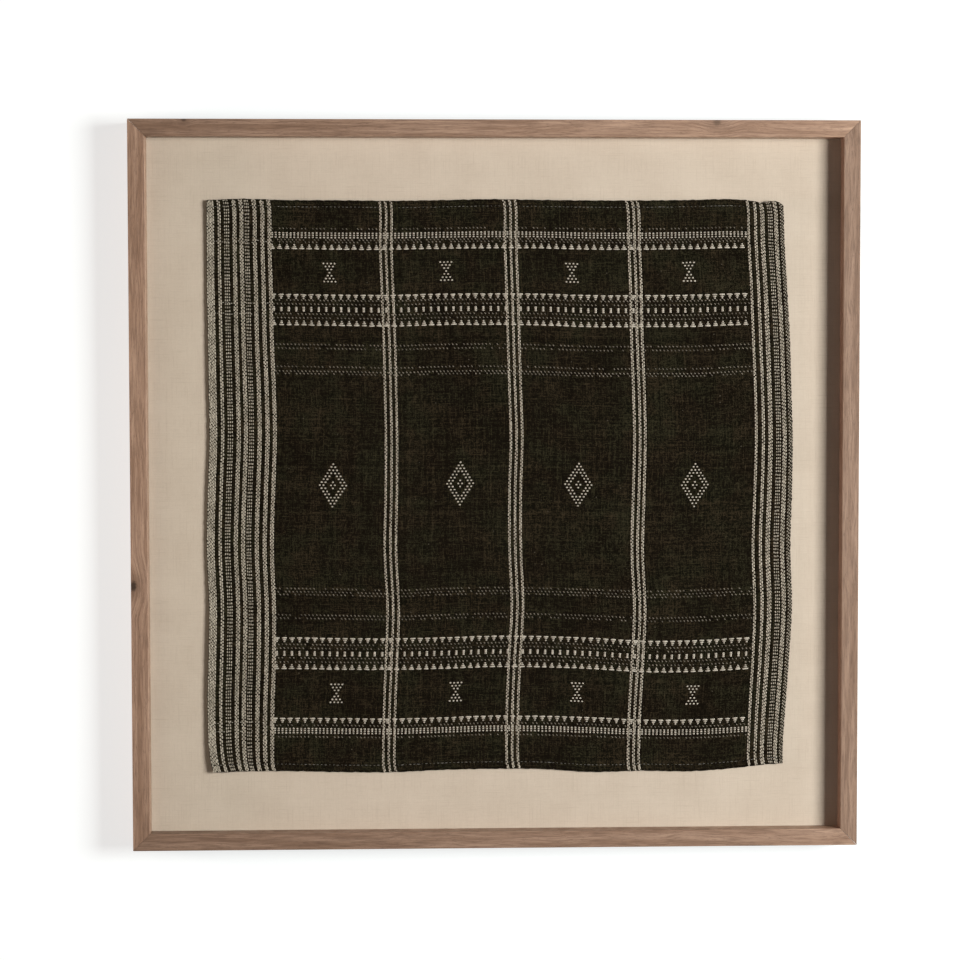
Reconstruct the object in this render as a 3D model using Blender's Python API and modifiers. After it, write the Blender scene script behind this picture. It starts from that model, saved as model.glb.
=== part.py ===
"""A square handwoven textile, mounted on linen inside a deep walnut shadow-box frame.

Metres, +Z up. The front of the frame faces -Y and its flat back lies in the plane Y = 0, where it
meets the wall. The origin is the middle of the top rail's back face, where the frame hangs.
"""

from math import radians

import bmesh
import bpy
import numpy as np

# Driving dimensions of the frame
FRAME_SIDE = 1.016
FACE_WIDTH = 0.0235
FRAME_DEPTH = 0.050
RECESS = 0.025
REBATE_WIDTH = 0.0085
EDGE_ROUND = 0.0007

# What lies in the rebate
LINEN_THICKNESS = 0.0010
BOARD_THICKNESS = 0.0050

# The woven cloth, before it is hung
CLOTH_WIDTH = 0.808
CLOTH_HEIGHT = 0.800
CLOTH_THICKNESS = 0.0016
GRID_STEPS = 44

# Touching pieces stay this far apart
GAP = 0.0003

# Places worked out from the sizes above, with the frame's centre as zero
MM = 0.001
HALF_SIDE = FRAME_SIDE / 2
REAR_WALL = FACE_WIDTH - REBATE_WIDTH
CENTRE_HEIGHT = -(HALF_SIDE - REAR_WALL / 2)
SHOULDER_Y = -FRAME_DEPTH + RECESS
LINEN_FRONT_Y = SHOULDER_Y + GAP
BOARD_FRONT_Y = LINEN_FRONT_Y + LINEN_THICKNESS + GAP
PANEL_SIDE = FRAME_SIDE - 2 * (REAR_WALL + GAP)
CUTTER_SPARE = 0.020

# How far the woven lines stand to the right of straight, in millimetres. A row is a height above the
# cloth's middle; a column is an upright line of the weave, named with its place across the cloth.
#              left edge  border  1st triple  2nd triple  3rd triple  right border  right edge
LEAN_LINES = (-404.0, -314.5, -151.5, 22.5, 193.5, 355.0, 404.0)
LEAN = {
    400: (0.5, 0.5, 0.0, -0.5, -0.5, -0.5, -0.5),
    343: (1.5, -0.5, -1.5, -1.0, 0.5, 0.0, 1.5),
    274: (2.0, 1.0, 0.5, 1.0, 3.0, 4.0, 5.0),
    204: (3.0, 2.0, 3.0, 3.0, 4.5, 7.0, 9.0),
    134: (3.5, 4.5, 4.5, 5.0, 7.5, 10.0, 11.5),
    64: (3.5, 5.5, 5.5, 7.0, 9.0, 11.5, 13.5),
    -6: (1.5, 3.0, 5.0, 5.0, 7.5, 10.0, 12.5),
    -90: (0.0, 0.5, 3.5, 5.0, 5.5, 7.5, 10.5),
    -175: (1.0, 3.0, 7.0, 8.0, 9.0, 10.5, 13.5),
    -245: (0.0, 2.5, 4.5, 4.0, 6.0, 8.0, 10.0),
    -316: (-1.0, 0.0, 1.5, 1.0, 2.0, 4.0, 5.0),
    -400: (4.5, -1.0, -0.5, 0.0, -0.5, 1.0, -0.5),
}

# How far the level lines stand above straight, in millimetres. A row is one level of the weave; a
# column is a place across the cloth.
SAG_PLACES = (-404, -358, -288, -218, -148, -78, -8, 62, 132, 203, 273, 344, 376, 404)
SAG = {
    399: (-1.5, 0.5, -0.5, -0.5, -1.0, 0.0, 1.5, 0.5, -0.5, 0.0, 0.5, 0.5, -2.5, -4.5),
    310: (1.0, 1.0, 0.0, -1.0, -1.0, 0.5, 1.0, 1.0, -1.0, -1.0, 0.0, 1.5, 1.5, 1.0),
    177: (3.0, 3.0, 2.0, 1.0, -0.5, 1.5, 2.0, 0.5, -2.0, -2.0, -2.0, 1.0, 1.0, 1.0),
    0: (3.0, 3.0, 2.5, 1.0, 0.0, 1.0, 2.0, 1.0, -1.5, -2.5, -2.0, 0.5, 1.0, 1.0),
    -150: (3.0, 3.0, 2.5, 1.0, -1.0, 1.5, 2.5, 1.0, -1.5, -4.0, -3.0, 0.0, 1.0, 1.0),
    -236: (3.0, 3.0, 2.5, 1.0, 0.5, 1.5, 3.5, 2.5, -0.5, -5.0, -5.0, -1.5, 0.0, 1.0),
    -336: (2.0, 2.5, 2.0, 1.0, 0.0, 1.5, 3.5, 2.5, 0.0, -3.5, -4.0, -1.0, 1.0, 2.0),
    -401: (-0.5, 0.5, 1.0, -1.5, -2.0, 1.0, 2.0, 1.5, -2.5, -2.5, -3.0, 1.5, 4.0, 5.5),
}

# How far the cloth stands off the linen: its loose left edge, its turned top right corner and the
# soft waves across it
LEFT_EDGE_LIFT = 0.0036
LEFT_EDGE_REACH = 0.022
LEFT_EDGE_RIPPLE = 0.25
RIPPLE_TURNS = 42.0
CORNER_LIFT = 0.0040
CORNER_REACH = 0.030
WAVE_HEIGHT = 0.0008
# Each wave: how fast it turns across and up, in radians a metre, and where it starts
WAVES = ((19.0, 15.0, 0.7), (11.0, 31.0, 0.0), (-23.0, 8.0, 2.0))


def smooth_through(at, knots, values):
    """Cubic curve through the knots; its slope at each knot is that of the knots beside it.

    values has one row for each place in at, or one row for all, and one column for each knot.
    """
    knots = np.asarray(knots, float)
    values = np.broadcast_to(values, (len(at), len(knots)))
    slopes = np.gradient(values, knots, axis=1)
    before = np.clip(np.searchsorted(knots, at) - 1, 0, len(knots) - 2)
    step = knots[before + 1] - knots[before]
    share = np.clip((at - knots[before]) / step, 0, 1)
    row = np.arange(len(at))
    start, end = values[row, before], values[row, before + 1]
    start_slope, end_slope = slopes[row, before] * step, slopes[row, before + 1] * step
    rise = end - start
    curve = (2 * rise - start_slope - end_slope) * -share
    return start + share * (start_slope + share * (3 * rise - 2 * start_slope - end_slope + curve))


def bent_by(table, across_knots, across, up):
    """Reads a table of rows by height and columns by place, smoothly in both directions, in metres."""
    heights = sorted(table)
    columns = np.array([table[height] for height in heights]).T
    by_height = [smooth_through(up / MM, heights, column) for column in columns]
    return smooth_through(across / MM, across_knots, np.stack(by_height, axis=1)) * MM


def lift_off_linen(across, up):
    """Height of the cloth's back above the linen: waves, the loose left edge and the turned corner."""
    waves = sum(np.sin(a * across + b * up + start) for a, b, start in WAVES) / len(WAVES)
    from_left = (across + CLOTH_WIDTH / 2) / LEFT_EDGE_REACH
    edge = np.exp(-(from_left**2)) * (1 + LEFT_EDGE_RIPPLE * np.sin(RIPPLE_TURNS * up))
    to_corner = np.hypot(across - CLOTH_WIDTH / 2, up - CLOTH_HEIGHT / 2) / CORNER_REACH
    corner = np.exp(-(to_corner**2))
    return WAVE_HEIGHT * (1 + waves) + LEFT_EDGE_LIFT * edge + CORNER_LIFT * corner


def new_collection(name):
    collection = bpy.data.collections.new(name)
    bpy.context.scene.collection.children.link(collection)
    return collection


def new_object(name, mesh, collection):
    obj = bpy.data.objects.new(name, mesh)
    collection.objects.link(obj)
    return obj


def box_mesh(name, low, high):
    """A box between two opposite corners."""
    low, high = np.array(low), np.array(high)
    mesh = bpy.data.meshes.new(name)
    bm = bmesh.new()
    bmesh.ops.create_cube(bm, size=1.0)
    bmesh.ops.scale(bm, vec=high - low, verts=bm.verts)
    bmesh.ops.translate(bm, vec=(high + low) / 2, verts=bm.verts)
    bm.to_mesh(mesh)
    bm.free()
    return mesh


def cutter(name, mesh, collection):
    obj = new_object(name, mesh, collection)
    obj.hide_render = True
    obj.display_type = "WIRE"
    return obj


def cut_with(obj, tool):
    cut = obj.modifiers.new(tool.name, "BOOLEAN")
    cut.operation = "DIFFERENCE"
    cut.solver = "EXACT"
    cut.object = tool


def principled(name, colour, roughness):
    material = bpy.data.materials.new(name)
    material.use_nodes = True
    shader = material.node_tree.nodes["Principled BSDF"]
    shader.inputs["Base Color"].default_value = (*colour, 1.0)
    shader.inputs["Roughness"].default_value = roughness
    shader.inputs["Metallic"].default_value = 0.0
    return material


def mitre_cutter(name, side, collection):
    """A block whose one face is the diagonal of a top corner, half the gap inside the rail.

    side is 1 for the right-hand corner and -1 for the left-hand one.
    """
    size = 4 * FACE_WIDTH
    inner, outer = sorted((-side * GAP / 2, side * size))
    mesh = box_mesh(name, (inner, -FRAME_DEPTH - CUTTER_SPARE, -size), (outer, CUTTER_SPARE, size))
    obj = cutter(name, mesh, collection)
    obj.location = (side * HALF_SIDE, 0, HALF_SIDE)
    obj.rotation_euler = (0, side * radians(45), 0)
    return obj


def rail_mesh(cutters):
    """The top rail about the frame's centre: a long bar with its rebate, then rounded, then mitred."""
    bar_end = HALF_SIDE + CUTTER_SPARE
    bar = box_mesh("rail", (-bar_end, -FRAME_DEPTH, HALF_SIDE - FACE_WIDTH), (bar_end, 0, HALF_SIDE))
    rebate_low = (-FRAME_SIDE, SHOULDER_Y, HALF_SIDE - FACE_WIDTH - CUTTER_SPARE)
    rebate_high = (FRAME_SIDE, CUTTER_SPARE, HALF_SIDE - REAR_WALL)
    rebate = cutter("rebate_cutter", box_mesh("rebate_cutter", rebate_low, rebate_high), cutters)
    blank = new_object("rail_blank", bar, cutters)
    cut_with(blank, rebate)
    rounded = blank.modifiers.new("rounded_edges", "BEVEL")
    rounded.width = EDGE_ROUND
    rounded.segments = 2
    rounded.limit_method = "ANGLE"
    rounded.angle_limit = radians(30)
    for name, side in (("mitre_left", -1), ("mitre_right", 1)):
        cut_with(blank, mitre_cutter(name, side, cutters))
    bpy.context.view_layer.update()
    finished = bpy.data.meshes.new_from_object(blank.evaluated_get(bpy.context.evaluated_depsgraph_get()))
    finished.name = "mitred_rail"
    bpy.data.objects.remove(blank)
    return finished


def build_rails(parts, cutters, centre):
    """Four equal rails, each a quarter turn round the frame's centre from the last."""
    mesh = rail_mesh(cutters)
    mesh.materials.clear()
    mesh.materials.append(principled("walnut", (0.30, 0.19, 0.13), 0.55))
    for turn, name in enumerate(("rail_top", "rail_right", "rail_bottom", "rail_left")):
        rail = new_object(name, mesh, parts)
        rail.parent = centre
        rail.rotation_euler = (0, radians(90 * turn), 0)


def build_panel(name, front_y, thickness, material, parts, centre):
    """A flat square panel that fills the rebate from side to side."""
    half = PANEL_SIDE / 2
    mesh = box_mesh(name, (-half, front_y, -half), (half, front_y + thickness, half))
    mesh.materials.append(material)
    panel = new_object(name, mesh, parts)
    panel.parent = centre


def build_textile(parts, centre):
    """One hemmed sheet: a straight grid bent to the lean and sag of its lines, then given its thickness."""
    mesh = bpy.data.meshes.new("textile")
    bm = bmesh.new()
    bmesh.ops.create_grid(bm, x_segments=GRID_STEPS, y_segments=GRID_STEPS, size=0.5)
    bm.to_mesh(mesh)
    bm.free()
    flat = np.empty(len(mesh.vertices) * 3)
    mesh.vertices.foreach_get("co", flat)
    across, up = flat.reshape(-1, 3)[:, :2].T * [[CLOTH_WIDTH], [CLOTH_HEIGHT]]
    hung = np.empty((len(across), 3))
    hung[:, 0] = across + bent_by(LEAN, LEAN_LINES, across, up)
    hung[:, 1] = SHOULDER_Y - lift_off_linen(across, up)
    hung[:, 2] = up + bent_by(SAG, SAG_PLACES, across, up)
    mesh.vertices.foreach_set("co", hung.ravel())
    mesh.update()
    mesh.shade_smooth()
    mesh.materials.append(principled("handwoven_wool", (0.022, 0.018, 0.014), 0.9))
    textile = new_object("textile", mesh, parts)
    textile.parent = centre
    thick = textile.modifiers.new("cloth_thickness", "SOLIDIFY")
    thick.thickness = CLOTH_THICKNESS
    thick.offset = 1.0


def build():
    for obj in list(bpy.data.objects):
        bpy.data.objects.remove(obj, do_unlink=True)
    parts = new_collection("framed_woven_textile")
    cutters = new_collection("cutters")
    centre = new_object("frame_centre", None, parts)
    centre.location = (0, 0, CENTRE_HEIGHT)
    build_rails(parts, cutters, centre)
    linen = principled("natural_linen", (0.62, 0.55, 0.43), 0.9)
    board = principled("fibre_board", (0.33, 0.24, 0.16), 0.8)
    build_panel("linen_ground", LINEN_FRONT_Y, LINEN_THICKNESS, linen, parts, centre)
    build_panel("mounting_board", BOARD_FRONT_Y, BOARD_THICKNESS, board, parts, centre)
    build_textile(parts, centre)


build()
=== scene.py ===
# %% [markdown]
# # A handwoven textile in a walnut shadow-box frame
# The object is a dark handwoven square, about 0.8 m each way, with cream warp stripes and small
# brocaded rows of dashes, triangles, diamonds and hourglasses. It hangs in front of pale linen, deep
# inside a plain walnut frame.
#
# The frame's rails and the board behind the linen arrive as finished solids, so this lesson gives
# them only a surface. The linen and the textile arrive as plain slabs, and here they are woven again:
# each is a sheet worked out on a grid of two parameters, and every yarn float that stands proud of
# the ground is a small solid grain laid along the weave.

# %% Load the solids as the fixed frame
from math import pi, radians

import bpy
import numpy as np
from mathutils import Matrix, Vector


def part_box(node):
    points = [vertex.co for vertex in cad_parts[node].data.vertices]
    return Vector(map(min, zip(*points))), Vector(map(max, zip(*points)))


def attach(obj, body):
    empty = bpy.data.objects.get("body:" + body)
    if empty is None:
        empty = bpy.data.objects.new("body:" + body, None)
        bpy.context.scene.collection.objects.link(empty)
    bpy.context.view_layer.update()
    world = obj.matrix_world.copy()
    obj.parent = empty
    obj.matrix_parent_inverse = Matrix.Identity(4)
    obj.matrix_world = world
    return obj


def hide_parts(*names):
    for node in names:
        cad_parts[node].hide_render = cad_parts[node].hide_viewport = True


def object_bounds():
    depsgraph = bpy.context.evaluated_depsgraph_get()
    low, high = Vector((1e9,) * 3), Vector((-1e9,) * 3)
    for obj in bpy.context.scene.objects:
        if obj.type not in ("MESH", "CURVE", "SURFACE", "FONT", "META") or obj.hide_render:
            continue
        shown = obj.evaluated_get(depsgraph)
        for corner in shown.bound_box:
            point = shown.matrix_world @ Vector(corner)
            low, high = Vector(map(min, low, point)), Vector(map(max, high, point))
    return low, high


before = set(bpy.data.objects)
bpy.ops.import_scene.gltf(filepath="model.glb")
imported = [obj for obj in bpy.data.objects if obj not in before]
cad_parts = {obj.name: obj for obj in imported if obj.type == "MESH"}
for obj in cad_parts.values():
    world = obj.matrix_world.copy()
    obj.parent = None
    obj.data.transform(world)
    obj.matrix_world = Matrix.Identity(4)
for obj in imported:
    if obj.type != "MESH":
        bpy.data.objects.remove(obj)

solid_low, solid_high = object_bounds()
print("Solids:", ", ".join(sorted(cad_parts)))
print("Box of the solids in metres:", tuple(round(side, 4) for side in solid_high - solid_low))

# %% [markdown]
# ## Where things are
# All lengths are in metres, and the wall is the plane Y = 0 with the viewer on its -Y side. The
# frame's and the linen's places come from the solids themselves, so they cannot drift away from
# them; the cloth's width and height are given as numbers. Weavers' sizes are easier to read in
# millimetres, so tables below hold millimetres and are scaled once.

# %% Read the places that everything else hangs on
MM = 0.001
CENTRE = np.array((solid_low + solid_high) / 2)
FRAME_HALF = (solid_high.x - solid_low.x) / 2
FRONT_Y = solid_low.y
LINEN_LOW, LINEN_HIGH = (np.array(corner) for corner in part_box("linen_ground"))
CLOTH_WIDTH = 0.808
CLOTH_HEIGHT = 0.800
print("Centre of the frame:", CENTRE.round(4), "linen's face at Y =", round(LINEN_LOW[1], 4))

# %% [markdown]
# ## The camera
# A flat thing on a wall is best seen with a long lens from a few metres away. This one stands a
# little to the left of the middle and a little above it, which is why the inner side of the right
# rail shows and that of the left rail hardly does. The aim is a point on the front of the frame, and
# a hair of roll levels it as a hand-set tripod would. The print gives where the frame's four outer
# corners land in a square picture.

# %% Set up the camera
LENS_MM = 86.25
SENSOR_MM = 36.0
PICTURE_SIDE = 960
CAMERA_PLACE = Vector((-0.135, -3.246, -0.3434))
CAMERA_AIM = Vector((-0.023, FRONT_Y, -0.4915))
CAMERA_ROLL = radians(-0.087)


def place_camera():
    """A camera at one point that looks at another, then rolls about its own axis."""
    data = bpy.data.cameras.new("camera")
    data.lens = LENS_MM
    data.sensor_width = SENSOR_MM
    camera = bpy.data.objects.new("camera", data)
    bpy.context.scene.collection.objects.link(camera)
    turn = (CAMERA_AIM - CAMERA_PLACE).to_track_quat("-Z", "Y").to_matrix().to_4x4()
    camera.matrix_world = Matrix.Translation(CAMERA_PLACE) @ turn @ Matrix.Rotation(CAMERA_ROLL, 4, "Z")
    bpy.context.scene.camera = camera
    return camera


def seen_at(camera, point):
    """The pixel at which a point lands: its sideways share of its distance, times the lens."""
    x, y, z = camera.matrix_world.inverted() @ Vector(point)
    scale = PICTURE_SIDE * LENS_MM / SENSOR_MM / -z
    return round(PICTURE_SIDE / 2 + x * scale, 1), round(PICTURE_SIDE / 2 - y * scale, 1)


camera = place_camera()
for x in (solid_low.x, solid_high.x):
    for z in (solid_high.z, solid_low.z):
        print("Outer corner seen at pixel", seen_at(camera, (x, FRONT_Y, z)))

# %% [markdown]
# ## Small tools for material nodes
# A material is a drawing made of nodes. Placed one by one they take pages, so helpers keep the
# recipes short: `add` places a node and feeds its sockets with numbers or with other sockets, `calc`
# is the same for one step of arithmetic, and `stain` turns a colour towards another where a mask
# lets it. `start_group` begins a node group, which is an effect that several materials share.

# %% Helpers that place nodes
def feed(tree, socket, value):
    """Links a socket to this input, or writes a plain value into it."""
    if isinstance(value, bpy.types.NodeSocket):
        tree.links.new(value, socket)
    else:
        socket.default_value = value


def add(tree, kind, inputs=None, **settings):
    """One node with its settings by name and its inputs by the socket's name or number."""
    made = tree.nodes.new("ShaderNode" + kind)
    for name, value in settings.items():
        setattr(made, name, value)
    for socket, value in (inputs or {}).items():
        feed(tree, made.inputs[socket], value)
    return made


def calc(tree, operation, *values):
    """One step of arithmetic on numbers or sockets."""
    return add(tree, "Math", dict(enumerate(values)), operation=operation).outputs[0]


def vector_calc(tree, operation, *values):
    """One step of arithmetic on vectors."""
    return add(tree, "VectorMath", dict(enumerate(values)), operation=operation).outputs[0]


def scaled(tree, vector, factor):
    """A vector times a number."""
    return add(tree, "VectorMath", {0: vector, "Scale": factor}, operation="SCALE").outputs[0]


def parts(tree, vector):
    """The X, Y and Z of a vector."""
    return add(tree, "SeparateXYZ", {0: vector}).outputs


def between(tree, value, low, high):
    """0 below low, 1 above high, and a soft step from one to the other."""
    settings = {"Value": value, "From Min": low, "From Max": high}
    return add(tree, "MapRange", settings, interpolation_type="SMOOTHSTEP").outputs[0]


def noise(tree, vector, scale, detail=2.0, roughness=0.5):
    """Soft random values around one half."""
    inputs = {"Vector": vector, "Scale": scale, "Detail": detail, "Roughness": roughness}
    return add(tree, "TexNoise", inputs).outputs["Fac"]


def streaks(tree, vector, scale, low, high):
    """Noise with its own scale on each axis, and a soft threshold from low to high."""
    stretched = add(tree, "Mapping", {"Vector": vector, "Scale": scale}).outputs[0]
    return between(tree, noise(tree, stretched, 1.0, detail=3.0), low, high)


def blend_colours(tree, share, first, second):
    """The first colour where share is 0, and the second where it is 1."""
    mix = add(tree, "Mix", data_type="RGBA")
    for socket, value in ((0, share), (6, first), (7, second)):
        feed(tree, mix.inputs[socket], value)
    return mix.outputs[2]


def stain(tree, colour, mask, depth, tone):
    """The colour, turned towards a tone by the given depth where the mask is 1."""
    return blend_colours(tree, calc(tree, "MULTIPLY", mask, depth), colour, tone)


print("Helpers that place nodes are ready")

# %% Helpers that start groups and materials
def start_group(name, inputs, outputs):
    """An empty node group with named sockets; gives back its tree, what it is given and its results."""
    tree = bpy.data.node_groups.new(name, "ShaderNodeTree")
    for label, kind in inputs.items():
        tree.interface.new_socket(label, in_out="INPUT", socket_type="NodeSocket" + kind)
    for label, kind in outputs.items():
        tree.interface.new_socket(label, in_out="OUTPUT", socket_type="NodeSocket" + kind)
    given = tree.nodes.new("NodeGroupInput").outputs
    results = tree.nodes.new("NodeGroupOutput").inputs
    return tree, given, results


def place_group(tree, group, **inputs):
    """A node group placed in a material, with its inputs by name, a space written as _."""
    node = add(tree, "Group", node_tree=group)
    for name, value in inputs.items():
        feed(tree, node.inputs[name.replace("_", " ")], value)
    return node.outputs


def start_material(name, roughness, specular):
    """A material with its Principled shader; the even values go straight onto the shader."""
    material = bpy.data.materials.new(name)
    material.use_nodes = True
    shader = material.node_tree.nodes["Principled BSDF"]
    shader.inputs["Roughness"].default_value = roughness
    shader.inputs["Specular IOR Level"].default_value = specular
    return material, material.node_tree, shader


def raise_surface(tree, shader, height, strength, distance):
    """Feeds a height to the shader's normal through a Bump node."""
    inputs = {"Height": height, "Strength": strength, "Distance": distance}
    feed(tree, shader.inputs["Normal"], add(tree, "Bump", inputs).outputs["Normal"])


print("Helpers for groups and materials are ready")

# %% [markdown]
# ## Plain weave as a node group
# In plain weave each warp end passes over one pick, then under the next, and its neighbour does the
# opposite: a chequer of small rounded bumps. Real threads could never all be modelled (this cloth
# has more than half a million crossings), so the ground weave is worked out by the material. The
# position is divided by the thread pitch; the whole part numbers the thread and the fraction says
# how far across it the point lies. Sine arcs over the fraction give each thread its round back.
#
# Hand-spun yarn is never of one tone. The thread's number picks a random shade for the whole thread,
# and a noise that runs along it, different for each number, gives it streaks a few millimetres long.
# Weavers call such yarn heathered.

# %% The weave group
# Threads read their streaks from lanes of one noise that lie too far apart to look alike
LANE_STEP = 3.618
LANE_START = 0.37
THREAD_SHARE = 0.4


def weave_group():
    """Height is the arc of the thread on top, and Shade is that thread's own tone from 0 to 1.

    A thread's tone is a random value for its number, mixed with a noise along its length.
    """
    tree, given, results = start_group(
        "plain_weave",
        {"Vector": "Vector", "End Pitch": "Float", "Pick Pitch": "Float", "Wander": "Float",
         "Streak": "Float"},
        {"Height": "Float", "Shade": "Float"},
    )
    drift = add(tree, "TexNoise", {"Vector": given["Vector"], "Scale": 55.0, "Detail": 2.0})
    centred = vector_calc(tree, "SUBTRACT", drift.outputs["Color"], (0.5, 0.5, 0.5))
    moved = vector_calc(tree, "ADD", given["Vector"], scaled(tree, centred, given["Wander"]))
    place = parts(tree, moved)
    number, arc, shade = [], [], []
    for axis, pitch in ((0, "End Pitch"), (1, "Pick Pitch")):
        count = calc(tree, "DIVIDE", place[axis], given[pitch])
        thread = calc(tree, "FLOOR", count)
        number.append(thread)
        arc.append(calc(tree, "SINE", calc(tree, "MULTIPLY", calc(tree, "FRACT", count), pi)))
        chosen = add(tree, "TexWhiteNoise", {"W": calc(tree, "ADD", thread, 0.5 * axis)},
                     noise_dimensions="1D").outputs["Value"]
        along = calc(tree, "DIVIDE", place[1 - axis], given["Streak"])
        lane = calc(tree, "MULTIPLY_ADD", thread, LANE_STEP, LANE_START)
        spot = add(tree, "CombineXYZ", {0: along, 1: lane}).outputs[0]
        streak = add(tree, "TexNoise", {"Vector": spot, "Scale": 1.0, "Detail": 2.0}, noise_dimensions="2D")
        streaky = between(tree, streak.outputs["Fac"], 0.25, 0.75)
        of_streak = calc(tree, "MULTIPLY", streaky, 1 - THREAD_SHARE)
        shade.append(calc(tree, "MULTIPLY_ADD", chosen, THREAD_SHARE, of_streak))
    warp_on_top = calc(tree, "FLOORED_MODULO", calc(tree, "ADD", *number), 2.0)
    heights = []
    for over, along in ((arc[0], arc[1]), (arc[1], arc[0])):
        swell = calc(tree, "MULTIPLY_ADD", along, 0.5, 0.5)
        heights.append(calc(tree, "MULTIPLY", calc(tree, "POWER", over, 0.7), swell))
    warp_height = calc(tree, "MULTIPLY", heights[0], warp_on_top)
    weft_on_top = calc(tree, "SUBTRACT", 1.0, warp_on_top)
    feed(tree, results["Height"], calc(tree, "MULTIPLY_ADD", heights[1], weft_on_top, warp_height))
    warp_shade = calc(tree, "MULTIPLY", shade[0], warp_on_top)
    feed(tree, results["Shade"], calc(tree, "MULTIPLY_ADD", shade[1], weft_on_top, warp_shade))
    return tree


PLAIN_WEAVE = weave_group()
print("Weave group has", len(PLAIN_WEAVE.nodes), "nodes")

# %% [markdown]
# ## Slubs and lint as a node group
# Two flaws make hand-spun cloth look real. A slub is a place where the yarn was spun thicker: it
# shows as a short streak along the thread. Lint is a pale fleck a millimetre wide. Both are random
# values with a threshold: a noise that is stretched along the thread for slubs, and the round
# cells of a Voronoi pattern, of which only a few are let through, for lint.

# %% The slub and lint group
def flaw_group():
    """Slubs are thin streaks along both axes and Bars are broader ones, a few threads wide.

    Lint lights a few small round cells, and Cloud is a broad tone.
    """
    tree, given, results = start_group(
        "slubs_and_lint",
        {"Vector": "Vector", "Lint Share": "Float"},
        {"Slubs": "Float", "Bars": "Float", "Lint": "Float", "Cloud": "Float"},
    )
    recipes = {"Slubs": (((30.0, 900.0, 1.0), (900.0, 22.0, 1.0)), 0.52, 0.78),
               "Bars": (((75.0, 420.0, 1.0), (380.0, 60.0, 1.0)), 0.44, 0.76)}
    for label, (scales, low, high) in recipes.items():
        both_ways = [streaks(tree, given["Vector"], scale, low, high) for scale in scales]
        feed(tree, results[label], calc(tree, "MAXIMUM", *both_ways))
    cells = add(tree, "TexVoronoi", {"Vector": given["Vector"], "Scale": 210.0})
    chosen = calc(tree, "LESS_THAN", parts(tree, cells.outputs["Color"])[0], given["Lint Share"])
    round_spot = between(tree, cells.outputs["Distance"], 0.22, 0.08)
    feed(tree, results["Lint"], calc(tree, "MULTIPLY", chosen, round_spot))
    feed(tree, results["Cloud"], noise(tree, given["Vector"], 14.0, detail=4.0, roughness=0.6))
    return tree


SLUBS_AND_LINT = flaw_group()
print("Flaw group has", len(SLUBS_AND_LINT.nodes), "nodes")

# %% [markdown]
# ## Linen
# The ground is natural linen, stretched over the board: warm, pale and almost smooth from a step
# away. Its weave is about half a millimetre, so only a faint grain and the slubs show. The pattern
# reads the sheet's own map, which is in metres, so a thread has its true width everywhere.

# %% The linen's material
LINEN_PITCH = 0.00062
LINEN_STREAK = 0.006
LINEN_COLOUR = (0.660, 0.575, 0.470, 1.0)
LINEN_SHADE = (0.500, 0.415, 0.325, 1.0)


def sheet_map(tree):
    """The map of a sheet, in metres across and up the cloth."""
    return add(tree, "UVMap", uv_map="weave").outputs["UV"]


def linen_material():
    material, tree, shader = start_material("natural_linen", roughness=0.92, specular=0.12)
    place = sheet_map(tree)
    weave = place_group(tree, PLAIN_WEAVE, Vector=place, End_Pitch=LINEN_PITCH, Pick_Pitch=LINEN_PITCH,
                        Wander=0.0006, Streak=LINEN_STREAK)
    flaws = place_group(tree, SLUBS_AND_LINT, Vector=place, Lint_Share=0.01)
    threads = calc(tree, "MULTIPLY", weave["Shade"], 0.40)
    cloud = calc(tree, "MULTIPLY_ADD", between(tree, flaws["Cloud"], 0.3, 0.7), 0.22, threads)
    shade = calc(tree, "MULTIPLY_ADD", flaws["Slubs"], 0.40, cloud)
    feed(tree, shader.inputs["Base Color"], blend_colours(tree, shade, LINEN_COLOUR, LINEN_SHADE))
    relief = calc(tree, "MULTIPLY_ADD", flaws["Slubs"], 0.6, weave["Height"])
    raise_surface(tree, shader, relief, strength=0.5, distance=0.00018)
    return material


LINEN = linen_material()
print("Linen threads per centimetre:", round(0.01 / LINEN_PITCH, 1))

# %% [markdown]
# ## The dark ground of the textile
# The ground yarn is hand-spun and nearly black, some of it brown and some olive. Warp and weft each
# get their own random shade, so close up the cloth is a tweed of dark threads, and from a step away
# faint streaks run both ways. A rough fibre has next to no gloss, so the specular level is low:
# otherwise so dark a cloth would look grey.

# %% The ground's material
END_PITCH = 0.00105
PICK_PITCH = 0.00115
GROUND_STREAK = 0.0045
UMBER = (0.0062, 0.0042, 0.0019, 1.0)
OLIVE_BLACK = (0.0046, 0.0042, 0.0016, 1.0)
FADED = (0.0458, 0.0338, 0.0184, 1.0)
FADED_GREEN = (0.0384, 0.0345, 0.0178, 1.0)
LINT = (0.110, 0.095, 0.070, 1.0)


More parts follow.
